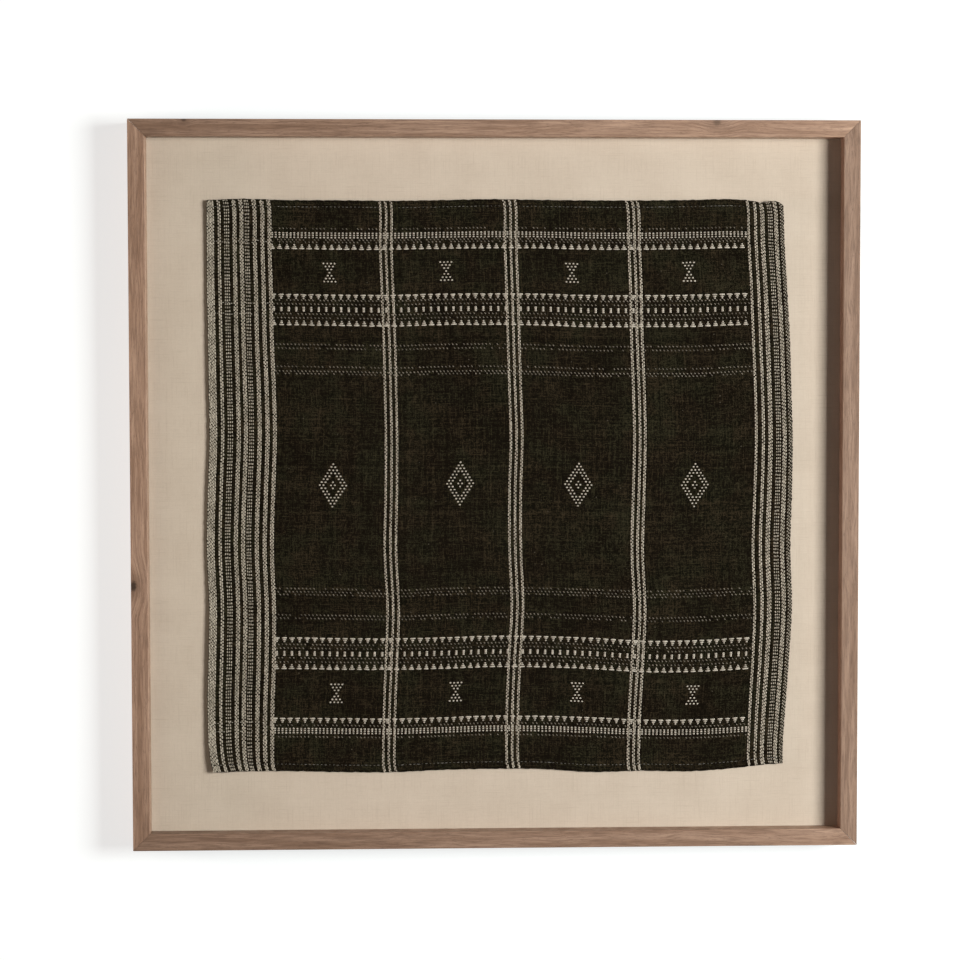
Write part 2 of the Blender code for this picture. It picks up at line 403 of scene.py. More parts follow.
def ground_material():
    material, tree, shader = start_material("dark_handspun", roughness=0.95, specular=0.06)
    place = sheet_map(tree)
    weave = place_group(tree, PLAIN_WEAVE, Vector=place, End_Pitch=END_PITCH, Pick_Pitch=PICK_PITCH,
                        Wander=0.0012, Streak=GROUND_STREAK)
    flaws = place_group(tree, SLUBS_AND_LINT, Vector=place, Lint_Share=0.015)
    dark = blend_colours(tree, between(tree, flaws["Cloud"], 0.42, 0.60), UMBER, OLIVE_BLACK)
    patch = calc(tree, "MULTIPLY_ADD", calc(tree, "SUBTRACT", flaws["Cloud"], 0.5), 0.7, weave["Shade"])
    streaky = calc(tree, "MULTIPLY_ADD", flaws["Slubs"], 0.60, calc(tree, "MULTIPLY", flaws["Bars"], 0.67))
    worn = calc(tree, "MULTIPLY_ADD", between(tree, patch, 0.38, 0.88), 0.86, streaky)
    faded = blend_colours(tree, between(tree, noise(tree, place, 23.0), 0.40, 0.60), FADED, FADED_GREEN)
    colour = blend_colours(tree, calc(tree, "SUBTRACT", worn, 0.29), dark, faded)
    feed(tree, shader.inputs["Base Color"], blend_colours(tree, flaws["Lint"], colour, LINT))
    relief = calc(tree, "MULTIPLY_ADD", flaws["Slubs"], 0.4, weave["Height"])
    raise_surface(tree, shader, relief, strength=0.9, distance=0.00060)
    return material


DARK_GROUND = ground_material()
print("Crossings in the ground weave:", round(CLOTH_WIDTH / END_PITCH * CLOTH_HEIGHT / PICK_PITCH))

# %% [markdown]
# ## The yarns that stand proud
# Cream warp, white brocade yarn, the dim grey yarn of the faint rows and the hem's thread are all
# made of twisted plies. Their floats carry a map that runs along the yarn in one direction and round
# it in the other, so slanting stripes on that map are the twist. The colour is painted darker in the
# twist's grooves, as shade between the plies. Each float also carries a random tone of its own, which
# the material reads as an attribute.

# %% Yarn materials
def twist_group():
    """Twist is a wave along the yarn and round it at once, which winds as plies do."""
    tree, given, results = start_group(
        "yarn_twist", {"Vector": "Vector", "Turns": "Float"}, {"Twist": "Float", "Fuzz": "Float"}
    )
    place = parts(tree, given["Vector"])
    wound = calc(tree, "MULTIPLY_ADD", place[0], given["Turns"], place[1])
    wave = calc(tree, "SINE", calc(tree, "MULTIPLY", wound, 2 * pi))
    feed(tree, results["Twist"], calc(tree, "MULTIPLY_ADD", wave, 0.5, 0.5))
    feed(tree, results["Fuzz"], noise(tree, given["Vector"], 9.0, detail=3.0))
    return tree


YARN_TWIST = twist_group()


def yarn_material(name, light, dark, turns):
    """A matte yarn between two tones: by its own random tone, and by its twist, which paints shade
    into the grooves between the plies. The fuzz only roughens the bump.
    """
    material, tree, shader = start_material(name, roughness=0.9, specular=0.15)
    place = add(tree, "UVMap", uv_map="yarn").outputs["UV"]
    twist = place_group(tree, YARN_TWIST, Vector=place, Turns=turns)
    tone = add(tree, "Attribute", attribute_name="tone").outputs["Fac"]
    # Darker where the twist wave is low, where the bump below sinks: painted shade in the grooves between
    # the plies
    shade = calc(tree, "MULTIPLY_ADD", calc(tree, "SUBTRACT", 1.0, twist["Twist"]), 0.3,
                 calc(tree, "MULTIPLY", tone, 0.7))
    feed(tree, shader.inputs["Base Color"], blend_colours(tree, shade, light, dark))
    relief = calc(tree, "MULTIPLY_ADD", twist["Fuzz"], 0.4, twist["Twist"])
    raise_surface(tree, shader, relief, strength=0.6, distance=0.00025)
    return material


CREAM_YARN = yarn_material("cream_warp", (0.560, 0.510, 0.415, 1), (0.240, 0.212, 0.163, 1), turns=3.0)
WHITE_YARN = yarn_material("white_brocade", (0.580, 0.535, 0.450, 1), (0.235, 0.212, 0.168, 1), turns=4.0)
GREY_YARN = yarn_material("dim_brocade", (0.270, 0.240, 0.190, 1), (0.080, 0.070, 0.054, 1), turns=3.0)
HEM_THREAD = yarn_material("hem_thread", (0.340, 0.325, 0.290, 1), (0.180, 0.172, 0.154, 1), turns=6.0)
print("Yarns:", ", ".join(m.name for m in (CREAM_YARN, WHITE_YARN, GREY_YARN, HEM_THREAD)))

# %% [markdown]
# ## Walnut
# Straight-grained walnut has three scales of detail: broad warm and cool bands along the board,
# fine growth lines a few millimetres apart, and dark pores like short pencil strokes. All of them
# are noise stretched many times along the grain. The grain follows each rail, so the level rails
# read their X axis as its direction, and the upright ones their Z axis, through a Mapping node that
# turns the pattern a quarter. A knot is a ragged dark spot with a soft halo. The front edges are a
# little paler, partly where hands and dusters have rubbed them and partly as a painted highlight
# along the edges. Each rail's tone also changes from one end to the other: painted light and shade
# that follows how the light falls across the frame.

# %% The walnut groups
GRAIN_WANDER = 0.012
# Distances from a knot count a little less along the grain and into the wood
KNOT_SQUEEZE = (0.8, 0.8, 1.0)
KNOT_RAGGEDNESS = 0.9
KNOT_BOW = 1.5


def grain_group():
    """Bands, Lines and Pores: noise that is long along X and short across it, at three scales.

    A slow noise first shifts the place across the grain, so that the lines wander a little.
    """
    tree, given, results = start_group(
        "walnut_grain", {"Vector": "Vector"}, {"Bands": "Float", "Lines": "Float", "Pores": "Float"}
    )
    slow = calc(tree, "MULTIPLY", noise(tree, given["Vector"], 9.0, detail=1.0), GRAIN_WANDER)
    shift = add(tree, "CombineXYZ", {1: slow, 2: slow}).outputs[0]
    wandering = vector_calc(tree, "ADD", given["Vector"], shift)
    recipes = {"Bands": ((5.0, 110.0, 110.0), 0.30, 0.70), "Lines": ((26.0, 620.0, 620.0), 0.34, 0.72),
               "Pores": ((110.0, 1900.0, 1900.0), 0.56, 0.70)}
    for label, (scale, low, high) in recipes.items():
        feed(tree, results[label], streaks(tree, wandering, scale, low, high))
    return tree


def knot_group():
    """Knot is 1 in its middle, Halo fades round it, and Bent is the place, pushed aside as grain is.

    A noise makes the outline uneven. Within six sizes of the knot the lines bow round it: the place
    across the grain is moved by up to one and a half sizes.
    """
    tree, given, results = start_group(
        "knot", {"Vector": "Vector", "Place": "Vector", "Size": "Float"},
        {"Knot": "Float", "Halo": "Float", "Bent": "Vector"},
    )
    away = vector_calc(tree, "SUBTRACT", given["Vector"], given["Place"])
    squeezed = vector_calc(tree, "MULTIPLY", away, KNOT_SQUEEZE)
    distance = add(tree, "VectorMath", {0: squeezed}, operation="LENGTH").outputs["Value"]
    even = calc(tree, "DIVIDE", distance, given["Size"])
    ragged = calc(tree, "SUBTRACT", noise(tree, given["Vector"], 330.0), 0.5)
    share = calc(tree, "MULTIPLY_ADD", ragged, KNOT_RAGGEDNESS, even)
    feed(tree, results["Knot"], between(tree, share, 1.15, 0.35))
    feed(tree, results["Halo"], between(tree, share, 3.6, 0.8))
    near = between(tree, share, 6.0, 0.5)
    push = calc(tree, "MULTIPLY", calc(tree, "MULTIPLY", near, KNOT_BOW), given["Size"])
    aside = add(tree, "CombineXYZ", {2: push}).outputs[0]
    feed(tree, results["Bent"], vector_calc(tree, "ADD", given["Vector"], aside))
    return tree


def wear_and_highlight_group():
    """The result is 1 on the frame's outer and inner front edges, where the larger of |x| and |z|
    meets them. There the walnut turns paler: partly rubbed wood, and partly a painted highlight
    along the edges.
    """
    tree, given, results = start_group(
        "edge_wear_and_highlight", {"Vector": "Vector", "Outer": "Float", "Inner": "Float"}, {"Wear And Highlight": "Float"}
    )
    place = parts(tree, given["Vector"])
    from_middle = calc(tree, "MAXIMUM", calc(tree, "ABSOLUTE", place[0]), calc(tree, "ABSOLUTE", place[2]))
    near = []
    for edge in ("Outer", "Inner"):
        gap = calc(tree, "ABSOLUTE", calc(tree, "SUBTRACT", from_middle, given[edge]))
        near.append(between(tree, gap, 0.0014, 0.0002))
    patchy = between(tree, noise(tree, given["Vector"], 60.0), 0.35, 0.65)
    feed(tree, results["Wear And Highlight"], calc(tree, "MULTIPLY", calc(tree, "MAXIMUM", *near), patchy))
    return tree


WALNUT_GRAIN, KNOT, EDGE_WEAR_AND_HIGHLIGHT = grain_group(), knot_group(), wear_and_highlight_group()
print("Walnut groups:", WALNUT_GRAIN.name, KNOT.name, EDGE_WEAR_AND_HIGHLIGHT.name)

# %% The walnut material, level and upright
FACE_WIDTH = 0.0235
WALNUT_LIGHT = (0.455, 0.302, 0.212, 1.0)
WALNUT_MID = (0.300, 0.185, 0.122, 1.0)
WALNUT_DARK = (0.150, 0.086, 0.055, 1.0)
KNOT_HEART = (0.045, 0.026, 0.016, 1.0)
# The last depth pales the front edges: rubbed wood and a painted highlight along them
LINES_DEPTH, PORES_DEPTH, HALO_DEPTH, WEAR_AND_HIGHLIGHT_DEPTH = 0.60, 0.70, 0.45, 0.35
# Each rail: quarter turns that lay its grain along X, its tone at both ends of that X, and each knot
# by its place from the frame's centre, its size and its depth of tone. The tones at the ends are
# painted light and shade: they brighten and darken the rails to follow how the light falls on them.
RAILS = {
    "rail_top": (0, (0.75, 1.22), (((-0.430, -0.025, 0.5065), 0.0030, 0.70),
                                   ((0.3065, -0.025, 0.5050), 0.0056, 0.50))),
    "rail_bottom": (0, (0.68, 1.05), ()),
    "rail_left": (1, (0.93, 1.02), (((-0.137, -0.025, 0.5052), 0.0070, 0.95),)),
    "rail_right": (1, (0.83, 0.83), ()),
}


def walnut_material(name, quarter_turns, tones, knots):
    """Walnut with its grain along X, or along Z after a quarter turn of the pattern about Y.

    The tone is a factor on the colour that goes evenly from one end of the rail to the other. It is
    painted light and shade, brighter where more light falls on the rail and darker where less does.
    """
    material, tree, shader = start_material(name, roughness=0.58, specular=0.35)
    raw = add(tree, "TexCoord").outputs["Object"]
    centred = add(tree, "Mapping", {"Vector": raw, "Location": [-value for value in CENTRE]}).outputs[0]
    turned = add(tree, "Mapping", {"Vector": centred, "Rotation": (0.0, radians(90) * quarter_turns, 0.0)})
    straight = turned.outputs[0]
    bent, marks = straight, []
    for place, size, depth in knots:
        knot = place_group(tree, KNOT, Vector=straight, Place=place, Size=size)
        nudge = vector_calc(tree, "SUBTRACT", knot["Bent"], straight)
        bent = vector_calc(tree, "ADD", bent, nudge)
        marks.append((knot, depth))
    grain = place_group(tree, WALNUT_GRAIN, Vector=bent)
    colour = blend_colours(tree, grain["Bands"], WALNUT_LIGHT, WALNUT_MID)
    colour = stain(tree, colour, grain["Lines"], LINES_DEPTH, WALNUT_DARK)
    colour = stain(tree, colour, grain["Pores"], PORES_DEPTH, WALNUT_DARK)
    for knot, depth in marks:
        colour = stain(tree, colour, knot["Halo"], HALO_DEPTH, WALNUT_DARK)
        colour = stain(tree, colour, knot["Knot"], depth, KNOT_HEART)
    # The front edges turn paler: partly rubbed wood and partly a painted highlight along the edges
    wear_and_highlight = place_group(tree, EDGE_WEAR_AND_HIGHLIGHT, Vector=centred, Outer=FRAME_HALF,
                       Inner=FRAME_HALF - FACE_WIDTH)["Wear And Highlight"]
    colour = stain(tree, colour, wear_and_highlight, WEAR_AND_HIGHLIGHT_DEPTH, WALNUT_LIGHT)
    # The tone from one end of the rail to the other: painted light and shade
    ends = {"Value": parts(tree, straight)[0], "From Min": -FRAME_HALF, "From Max": FRAME_HALF,
            "To Min": tones[0], "To Max": tones[1]}
    tone = add(tree, "MapRange", ends).outputs[0]
    feed(tree, shader.inputs["Base Color"], scaled(tree, colour, tone))
    roughness = calc(tree, "MULTIPLY_ADD", grain["Pores"], 0.2, 0.52)
    feed(tree, shader.inputs["Roughness"], calc(tree, "MULTIPLY_ADD", wear_and_highlight, -0.1, roughness))
    hollow = calc(tree, "MULTIPLY_ADD", grain["Lines"], -0.25, calc(tree, "MULTIPLY", grain["Pores"], -1.0))
    raise_surface(tree, shader, hollow, strength=0.5, distance=0.00020)
    return material


def dress_node(name, material):
    """Gives a solid that keeps its shape one new material."""
    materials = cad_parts[name].data.materials
    materials.clear()
    materials.append(material)


for name, (quarter_turns, tones, knots) in RAILS.items():
    dress_node(name, walnut_material("walnut_" + name, quarter_turns, tones, knots))
    print(name, "is walnut with", len(knots), "knots")

# %% [markdown]
# ## The board behind
# From the back one sees the mounting board in its rebate. It is brown fibreboard: felted fibres with
# no direction, so two noises at different scales and a few darker chips are enough.

# %% The fibreboard's material
FIBRE_LIGHT = (0.33, 0.24, 0.155, 1.0)
FIBRE_DARK = (0.22, 0.15, 0.095, 1.0)
FIBRE_CLOUD = (0.36, 0.27, 0.18, 1.0)
FIBRE_CHIP = (0.12, 0.08, 0.05, 1.0)


def fibreboard_material():
    material, tree, shader = start_material("fibreboard", roughness=0.85, specular=0.2)
    place = add(tree, "TexCoord").outputs["Object"]
    fibres = noise(tree, place, 650.0, detail=5.0, roughness=0.7)
    flaws = place_group(tree, SLUBS_AND_LINT, Vector=place, Lint_Share=0.05)
    felt = blend_colours(tree, between(tree, fibres, 0.3, 0.7), FIBRE_LIGHT, FIBRE_DARK)
    cloudy = stain(tree, felt, flaws["Cloud"], 0.4, FIBRE_CLOUD)
    feed(tree, shader.inputs["Base Color"], stain(tree, cloudy, flaws["Lint"], 0.6, FIBRE_CHIP))
    raise_surface(tree, shader, fibres, strength=0.4, distance=0.0002)
    return material


dress_node("mounting_board", fibreboard_material())
print("Fibreboard on the mounting board")

# %% [markdown]
# ## A sheet with round edges
# Cloth is a thin closed shell. Its front and its back are the same grid of points, pushed apart by
# half the thickness, and near the outline the thickness falls like a quarter circle, so the two
# faces meet in a soft edge and share their outermost points. A function of two parameters does all
# of it: the places across and up go in as one array each, and a mapping function puts them in the
# room. The map for the weave is the flat cloth itself, in metres.

# %% Build a mesh from arrays, and a closed sheet from a grid
ROUND_STEPS = 4


def new_piece(name, points, faces, material, maps=None, tones=None):
    """A smooth mesh object from a point array and a face array whose rows have equal length.

    maps holds a UV layer's name and one (u, v) for each point; tones is one number for each point.
    """
    mesh = bpy.data.meshes.new(name)
    mesh.vertices.add(len(points))
    mesh.vertices.foreach_set("co", np.asarray(points, np.float32).ravel())
    corners = np.asarray(faces, np.int32)
    mesh.loops.add(corners.size)
    mesh.loops.foreach_set("vertex_index", corners.ravel())
    mesh.polygons.add(len(corners))
    mesh.polygons.foreach_set("loop_start", np.arange(0, corners.size, corners.shape[1], dtype=np.int32))
    mesh.update(calc_edges=True)
    mesh.shade_smooth()
    for label, places in (maps or {}).items():
        layer = mesh.uv_layers.new(name=label)
        layer.uv.foreach_set("vector", np.asarray(places, np.float32)[corners.ravel()].ravel())
    if tones is not None:
        mesh.attributes.new("tone", "FLOAT", "POINT").data.foreach_set("value", tones.astype(np.float32))
    mesh.materials.append(material)
    piece = bpy.data.objects.new(name, mesh)
    bpy.context.scene.collection.objects.link(piece)
    return piece


def edge_spaced(length, steps, radius):
    """Places from -length/2 to length/2: even steps, with extra ones where the edge rounds off."""
    rounding = radius * (1 - np.cos(np.linspace(0, pi / 2, ROUND_STEPS + 1)))
    inner = np.linspace(radius, length - radius, steps)
    return np.concatenate([rounding[:-1], inner, length - rounding[-2::-1]]) - length / 2


def grid_faces(index):
    """Quads between neighbours in a grid of point numbers."""
    return np.stack([index[:-1, :-1], index[:-1, 1:], index[1:, 1:], index[1:, :-1]], -1).reshape(-1, 4)


def closed_sheet(name, width, height, steps, thickness, place, material):
    """A shell over a flat cut: front and back share the outline and part by a quarter circle's law.

    place(across, up, out) gives the point in the room that lies so far across, up and off the back.
    """
    radius = thickness / 2
    across, up = (edge_spaced(length, steps, radius) for length in (width, height))
    across, up = (axis.ravel() for axis in np.meshgrid(across, up))
    to_edge = np.minimum(width / 2 - abs(across), height / 2 - abs(up)).clip(0, radius)
    half = radius * np.sqrt(1 - (1 - to_edge / radius) ** 2)
    count = steps + 2 * ROUND_STEPS
    front = np.arange(count * count).reshape(count, count)
    back = front.copy()
    inside = np.zeros_like(front, bool)
    inside[1:-1, 1:-1] = True
    back[inside] = count * count + np.arange(inside.sum())
    kept = inside.ravel()
    points = np.concatenate([place(across, up, radius + half), place(across, up, radius - half)[kept]])
    flat = np.stack([across, up], 1) + (width, height)
    faces = np.concatenate([grid_faces(front), grid_faces(back)[:, ::-1]])
    return new_piece(name, points, faces, material, {"weave": np.concatenate([flat, flat[kept]])})


print("Sheet tools are ready")

# %% [markdown]
# ## The linen
# It is cut to the rebate and pulled tight over the board, so its swells are a tenth of a millimetre
# high: enough for the light to travel over it unevenly, and too little to leave its place.

# %% Stretch the linen
LINEN_THICKNESS = LINEN_HIGH[1] - LINEN_LOW[1]
LINEN_SIDE = LINEN_HIGH[0] - LINEN_LOW[0]
LINEN_SWELL = 0.00012


def linen_place(across, up, out):
    """The flat square, with slow swells of its face; out is measured from the board."""
    swell = LINEN_SWELL * (np.sin(21 * across + 9 * up) + np.sin(13 * up - 17 * across + 1.0)) / 2
    depth = LINEN_HIGH[1] - out * (1 + (swell - LINEN_SWELL) / LINEN_THICKNESS)
    return np.stack([CENTRE[0] + across, depth, CENTRE[2] + up], 1)


linen = closed_sheet("linen_cloth", LINEN_SIDE, LINEN_SIDE, 90, LINEN_THICKNESS, linen_place, LINEN)
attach(linen, "root")
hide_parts("linen_ground")
print("Linen:", len(linen.data.polygons), "faces,", round(LINEN_SIDE, 4), "m each way")

# %% [markdown]
# ## How the textile hangs
# No handwoven cloth is square on its wall. Its upright lines lean to the right at mid height, and
# its level lines dip and rise by a few millimetres. Two short tables hold that, one row for each
# height (or level) and one column for each place, and a smooth curve is drawn through them in both
# directions. The loose left edge stands off the linen, and three slow waves lift the rest.
#
# Sewing leaves its own marks. The top hem was pulled a little to the left when it was turned, and the
# bottom hem to the right, so every stripe hooks sideways in its last centimetre. At the top right
# corner the cloth is bunched: a small valley, then a rolled, rounded corner that stands forward. The
# bottom left corner lifts a little as well.

# %% How the woven lines lean and sag
# How far the woven lines stand right of straight, in millimetres. A row is a height above the
# cloth's middle; a column is an upright line of the weave, named with its place across the cloth.
#              left edge  border  1st triple  2nd triple  3rd triple  right border  right edge
LEAN_LINES = (-404.0, -314.5, -151.5, 22.5, 193.5, 355.0, 404.0)
LEAN = {
    400: (2.3, 0.5, 0.0, -0.5, -0.5, -0.5, -0.5),
    343: (2.0, -0.5, -1.5, -1.0, 0.5, 0.0, 1.5),
    274: (2.0, 1.0, 0.5, 1.0, 3.0, 4.0, 5.6),
    204: (3.0, 2.0, 3.0, 3.0, 4.5, 7.0, 10.0),
    134: (3.5, 4.5, 4.5, 5.0, 7.5, 10.0, 12.2),
    64: (4.1, 5.5, 5.5, 7.0, 9.0, 11.5, 14.5),
    -6: (1.5, 3.0, 5.0, 5.0, 7.5, 10.0, 13.9),
    -90: (-0.6, 0.5, 3.5, 5.0, 5.5, 7.5, 11.9),
    -175: (2.2, 3.0, 7.0, 8.0, 9.0, 10.5, 14.5),
    -245: (0.6, 2.5, 4.5, 4.0, 6.0, 8.0, 10.8),
    -316: (-1.0, 0.0, 1.5, 1.0, 2.0, 4.0, 5.9),
    -378: (1.8, -0.7, 0.0, 0.3, 0.2, 1.8, 2.2),
    -400: (6.3, -1.0, -0.5, 0.0, -0.5, 1.0, 2.2),
}

# How far the level lines stand above straight, in millimetres. A row is one level of the weave; a
# column is a place across the cloth.
SAG_PLACES = (-404, -358, -288, -218, -148, -78, -8, 62, 132, 203, 273, 344, 376, 404)
SAG = {
    399: (-2.3, -0.1, -1.7, -1.8, -2.5, -1.6, -0.1, -1.0, -1.7, -1.7, -0.9, -0.2, -3.3, -5.5),
    310: (1.0, 1.0, 0.0, -1.0, -1.0, 0.5, 1.0, 1.0, -1.0, -1.0, 0.0, 1.5, 1.5, 1.0),
    177: (3.0, 3.0, 2.0, 1.0, -0.5, 1.5, 2.0, 0.5, -2.0, -2.0, -2.0, 1.0, 1.0, 1.0),
    0: (3.0, 3.0, 2.5, 1.0, 0.0, 1.0, 2.0, 1.0, -1.5, -2.5, -2.0, 0.5, 1.0, 1.0),
    -150: (3.0, 3.0, 2.5, 1.0, -1.0, 1.5, 2.5, 1.0, -1.5, -4.0, -3.0, 0.0, 1.0, 1.0),
    -236: (3.0, 3.0, 2.5, 1.0, 0.5, 1.5, 3.5, 2.5, -0.5, -5.0, -5.0, -1.5, 0.0, 1.0),
    -336: (2.0, 2.5, 2.0, 1.0, 0.0, 1.5, 3.5, 2.5, 0.0, -3.5, -4.0, -1.0, 1.0, 2.0),
    -401: (-1.6, -0.9, -1.2, -3.2, -3.8, -1.0, 0.0, -0.8, -5.5, -4.3, -5.6, -0.4, 3.3, 5.0),
}


def smooth_through(at, knots, values):
    """Cubic curve through the knots; its slope at each knot is that of the knots beside it.

    values has one row for each place in at, or one row for all, and one column for each knot.
    """
    knots = np.asarray(knots, float)
    values = np.broadcast_to(values, (len(at), len(knots)))
    slopes = np.gradient(values, knots, axis=1)
    before = np.clip(np.searchsorted(knots, at) - 1, 0, len(knots) - 2)
    step = knots[before + 1] - knots[before]
    share = np.clip((at - knots[before]) / step, 0, 1)
    row = np.arange(len(at))
    start, end = values[row, before], values[row, before + 1]
    start_slope, end_slope = slopes[row, before] * step, slopes[row, before + 1] * step
    rise = end - start
    curve = (2 * rise - start_slope - end_slope) * -share
    return start + share * (start_slope + share * (3 * rise - 2 * start_slope - end_slope + curve))


def bent_by(table, across_knots, across, up):
    """Reads a table of rows by height and columns by place, smoothly in both directions, in metres."""
    heights = sorted(table)
    columns = np.array([table[height] for height in heights]).T
    by_height = [smooth_through(up / MM, heights, column) for column in columns]
    return smooth_through(across / MM, across_knots, np.stack(by_height, axis=1)) * MM


for table, places, side in ((LEAN, LEAN_LINES, "to the right"), (SAG, SAG_PLACES, "too high")):
    at_middle = bent_by(table, places, np.zeros(1), np.zeros(1))[0] / MM
    print("At the cloth's middle the woven lines lie", round(at_middle, 2), "mm", side)

# %% How far the cloth stands off the linen
LEFT_EDGE_LIFT = 0.0024
LEFT_EDGE_REACH = 0.022
LEFT_EDGE_SWING = 0.22
SWING_TURNS = 6.3
CORNER_LIFT = 0.0040
CORNER_REACH = 0.030
LOOSE_CORNER_LIFT = 0.0024
WAVE_HEIGHT = 0.0008
# Each wave: how fast it turns across and up, in radians a metre, and where it starts
WAVES = ((19.0, 15.0, 0.7), (11.0, 31.0, 0.0), (-23.0, 8.0, 2.0))


def lift_off_linen(across, up):
    """Height of the cloth's back above the linen: waves, the loose left edge and two raised corners."""
    waves = sum(np.sin(a * across + b * up + start) for a, b, start in WAVES) / len(WAVES)
    from_left = (across + CLOTH_WIDTH / 2) / LEFT_EDGE_REACH
    edge = np.exp(-(from_left**2)) * (1 - LEFT_EDGE_SWING * np.sin(SWING_TURNS * up))
    to_corner = np.hypot(across - CLOTH_WIDTH / 2, up - CLOTH_HEIGHT / 2) / CORNER_REACH
    to_loose = np.hypot(across + CLOTH_WIDTH / 2, up + CLOTH_HEIGHT / 2) / CORNER_REACH
    corners = CORNER_LIFT * np.exp(-(to_corner**2)) + LOOSE_CORNER_LIFT * np.exp(-(to_loose**2))
    return WAVE_HEIGHT * (1 + waves) + LEFT_EDGE_LIFT * edge + corners


lifted = lift_off_linen(-np.full(3, CLOTH_WIDTH / 2), np.array([-0.3, 0.0, 0.3]))
print("The left edge stands off by", (lifted / MM).round(1), "mm at three heights")

# %% The marks of sewing, and a point's place in the room
BACK_GAP = 0.0003
TOP_PULL = -0.0030
TOP_PULL_REACH = 0.009
BOTTOM_PULL = 0.0035
BOTTOM_PULL_REACH = 0.0065
PULL_FADE = 0.012
# The bunched corner: each mark has its place across the cloth, its width and its size
BUNCH_REACH = 0.008
BUNCH_ROLL = (0.393, 0.009, 0.0024)
BUNCH_VALLEY = (0.378, 0.006, 0.0022)
BUNCH_PULL = (0.392, 0.012, 0.0025)
CORNER_ROUND = 0.008
CORNER_DROP = 0.0036
EDGE_WANDER = 0.00060
EDGE_WANDER_REACH = 0.006
# The outline's unevenness: how fast each wave turns, in radians a metre, and where it starts
SIDE_WAVES = ((510, 0.0), (287, 1.0), (1130, 2.0))
END_WAVES = ((430, 0.0), (251, 0.6), (990, 0.0))


def hill(across, mark):
    """A bell curve across the cloth; the mark gives its place, its width and its height."""
    place, width, height = mark
    return height * np.exp(-(((across - place) / width) ** 2))


def sewn_shift(across, up):
    """How far the hems and the bunched corner move a point sideways, upwards and forwards."""
    below_top, above_bottom = CLOTH_HEIGHT / 2 - up, CLOTH_HEIGHT / 2 + up
    from_side = CLOTH_WIDTH / 2 - abs(across)
    pull = TOP_PULL * np.exp(-below_top / TOP_PULL_REACH)
    pull = pull + BOTTOM_PULL * np.exp(-above_bottom / BOTTOM_PULL_REACH)
    bunched = np.exp(-below_top / BUNCH_REACH)
    sideways = pull * (1 - np.exp(-from_side / PULL_FADE)) - bunched * hill(across, BUNCH_PULL)
    into_corner = np.clip((across - CLOTH_WIDTH / 2) / CORNER_ROUND + 1, 0, 1)
    roll, valley = hill(across, BUNCH_ROLL), hill(across, BUNCH_VALLEY)
    upwards = bunched * (roll - valley - CORNER_DROP * into_corner**2)
    forwards = bunched * (roll - 0.5 * valley)
    return sideways, upwards, forwards


def ripple(places, waves):
    """The mean of a few waves."""
    return sum(np.sin(turning * places + start) for turning, start in waves) / len(waves)


def edge_wander(across, up):
    """A few tenths of a millimetre of unevenness along the outline, sideways and upwards."""
    near_side = np.exp((abs(across) - CLOTH_WIDTH / 2) / EDGE_WANDER_REACH)
    near_end = np.exp((abs(up) - CLOTH_HEIGHT / 2) / EDGE_WANDER_REACH)
    sideways = EDGE_WANDER * near_side * ripple(up, SIDE_WAVES)
    return sideways, EDGE_WANDER * near_end * ripple(across, END_WAVES)


def hang(across, up, out):
    """The place in the room of a point of the cloth that stands out from its back."""
    sewn_sideways, sewn_upwards, forwards = sewn_shift(across, up)
    sideways, upwards = edge_wander(across, up)
    x = across + bent_by(LEAN, LEAN_LINES, across, up) + sewn_sideways + sideways
    z = up + bent_by(SAG, SAG_PLACES, across, up) + sewn_upwards + upwards
    y = LINEN_LOW[1] - BACK_GAP - lift_off_linen(across, up) - forwards - out
    return np.stack([CENTRE[0] + x, y, CENTRE[2] + z], 1)


middle = hang(np.zeros(1), np.zeros(1), np.zeros(1))[0]
print("The cloth's middle hangs at", middle.round(4))

# %% [markdown]
# ## The textile's ground
# The ground sheet is 1.2 mm thick. Along the top and the bottom it is turned over once and stitched
# down, so there it stands half a millimetre higher, with a shallow groove at the stitches. Its sides
# are selvedges, where the weft turns back.

# %% Weave the ground sheet
BODY = 0.0012
HEM_DEPTH = 0.0095
HEM_EXTRA = 0.0005
HEM_RAMP = 0.002
GROOVE = 0.00030
GROOVE_WIDTH = 0.0012


def soft_step(value):
    """0 below 0, 1 above 1 and smooth between them."""
    share = np.clip(value, 0, 1)
    return share * share * (3 - 2 * share)


def hem_relief(up):
    """Height of the turned hem over the plain cloth, with the groove that its stitches draw in."""
    inside = abs(up) - (CLOTH_HEIGHT / 2 - HEM_DEPTH)
    return HEM_EXTRA * soft_step(inside / HEM_RAMP) - GROOVE * np.exp(-((inside / GROOVE_WIDTH) ** 2))


def ground_place(across, up, out):
    """The hanging cloth, with the hems' relief added to its front."""
    front_share = np.clip(out / BODY - 0.5, 0, 0.5) * 2
    return hang(across, up, out + front_share * hem_relief(up))


ground = closed_sheet("woven_ground", CLOTH_WIDTH, CLOTH_HEIGHT, 204, BODY, ground_place, DARK_GROUND)
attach(ground, "root")
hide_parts("textile")
print("Ground sheet:", 2 * len(ground.data.polygons), "triangles")

# %% [markdown]
# ## Yarn floats
# Where a yarn passes over several others it shows as a float: a short plump grain that dives back
# into the cloth at both ends. Thousands of them make up the stripes and the brocade. One grain is
# three rings of six points and two poles, 36 triangles, and all grains of a family are laid at once:
# the unit grain is scaled, turned and carried to each place as one array, then hung like the cloth.

# %% The unit grain
GRAIN_SIDES = 6
# Each ring: its place along the grain and its girth
GRAIN_RINGS = ((-0.72, 0.84), (0.0, 1.0), (0.72, 0.84))


